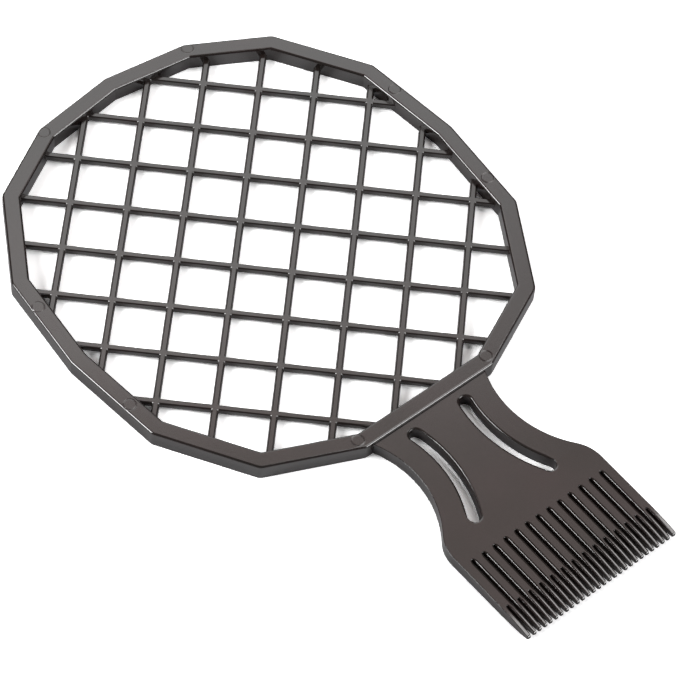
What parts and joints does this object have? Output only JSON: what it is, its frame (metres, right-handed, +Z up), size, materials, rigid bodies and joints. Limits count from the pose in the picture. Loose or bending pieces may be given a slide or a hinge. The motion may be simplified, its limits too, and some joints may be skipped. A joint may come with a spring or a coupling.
{
  "type": "lattice pick comb",
  "caption": "Flat hand comb for coils and curls: a many-sided head with a diagonal lattice, a waisted handle plate with curved slots, and a comb with forked tines.",
  "frame": {"origin": "on the flat underside, at the middle of the overall length and width", "axes": "X across the tool, +Y along it towards the end of the lattice head, +Z up out of the upper face"},
  "size_m": [0.1564, 0.2454, 0.0058],
  "materials": {
    "black_plastic": "satin moulded"
  },
  "bodies": {
    "root": {"rim": "black_plastic", "lattice_bar_1": "black_plastic", "lattice_bar_2": "black_plastic", "lattice_bar_3": "black_plastic", "lattice_bar_4": "black_plastic", "lattice_bar_5": "black_plastic", "lattice_bar_6": "black_plastic", "lattice_bar_7": "black_plastic", "lattice_bar_8": "black_plastic", "lattice_cross_bar_1": "black_plastic", "lattice_cross_bar_2": "black_plastic", "lattice_cross_bar_3": "black_plastic", "lattice_cross_bar_4": "black_plastic", "lattice_cross_bar_5": "black_plastic", "lattice_cross_bar_6": "black_plastic", "lattice_cross_bar_7": "black_plastic", "lattice_cross_bar_8": "black_plastic", "handle": "black_plastic", "tine_01": "black_plastic", "tine_02": "black_plastic", "tine_03": "black_plastic", "tine_04": "black_plastic", "tine_05": "black_plastic", "tine_06": "black_plastic", "tine_07": "black_plastic", "tine_08": "black_plastic", "tine_09": "black_plastic", "tine_10": "black_plastic", "tine_11": "black_plastic", "tine_12": "black_plastic", "tine_13": "black_plastic", "tine_14": "black_plastic", "tooth_01": "black_plastic", "tooth_02": "black_plastic", "tooth_03": "black_plastic", "tooth_04": "black_plastic", "tooth_05": "black_plastic", "tooth_06": "black_plastic", "tooth_07": "black_plastic", "tooth_08": "black_plastic", "tooth_09": "black_plastic", "tooth_10": "black_plastic", "tooth_11": "black_plastic", "tooth_12": "black_plastic", "tooth_13": "black_plastic", "tooth_14": "black_plastic", "tooth_15": "black_plastic", "tooth_16": "black_plastic", "tooth_17": "black_plastic", "tooth_18": "black_plastic", "tooth_19": "black_plastic", "tooth_20": "black_plastic", "tooth_21": "black_plastic", "tooth_22": "black_plastic", "tooth_23": "black_plastic", "tooth_24": "black_plastic", "tooth_25": "black_plastic", "tooth_26": "black_plastic", "tooth_27": "black_plastic", "tooth_28": "black_plastic"}
  },
  "joints": []
}
